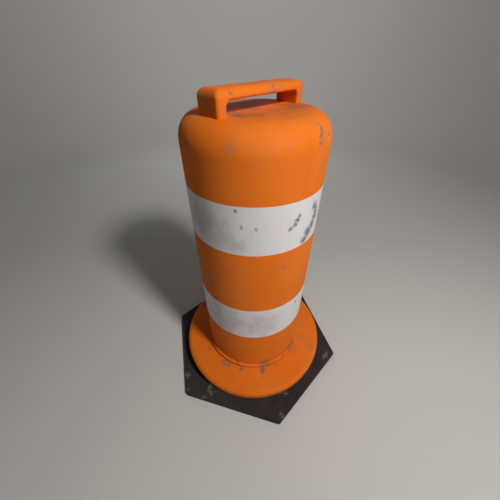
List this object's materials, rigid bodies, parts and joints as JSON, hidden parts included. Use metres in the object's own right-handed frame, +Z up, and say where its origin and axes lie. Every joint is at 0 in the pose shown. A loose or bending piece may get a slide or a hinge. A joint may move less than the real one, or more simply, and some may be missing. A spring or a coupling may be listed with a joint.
{
  "type": "traffic barrel drum",
  "caption": "Tapered orange channelizing drum with white reflective bands, a carrying handle on top and a foot flange on a hexagonal rubber base.",
  "frame": {"origin": "on the ground, at the middle of the hexagonal base", "axes": "+Z up along the drum's axis; X along the carrying handle, through two opposite corners of the hexagon"},
  "size_m": [0.7892, 0.6858, 1.065],
  "materials": {
    "base_rubber": "rough, scuffed",
    "orange_plastic": "satin, scuffed grey",
    "orange_sheeting": "satin retroreflective sheet",
    "white_sheeting": "satin retroreflective sheet, scuffed",
    "insert_brass": "knurled",
    "zinc_steel": "zinc plated"
  },
  "bodies": {
    "base": {"rubber_base": "base_rubber", "foot_flange": "orange_plastic", "flange_inserts": "insert_brass", "base_washers": "zinc_steel", "base_screws": "zinc_steel"},
    "drum": {"drum_shell": "orange_plastic", "lower_white_band": "white_sheeting", "middle_orange_band": "orange_sheeting", "upper_white_band": "white_sheeting", "top_orange_band": "orange_sheeting", "handle": "orange_plastic", "handle_inserts": "insert_brass", "handle_backing_plates": "zinc_steel", "handle_washers": "zinc_steel", "handle_screws": "zinc_steel"}
  },
  "joints": [
    {"name": "drum_lift", "type": "slide", "parent": "base", "child": "drum", "axis": [0, 0, 1], "range_m": [0, 0.1]}
  ]
}
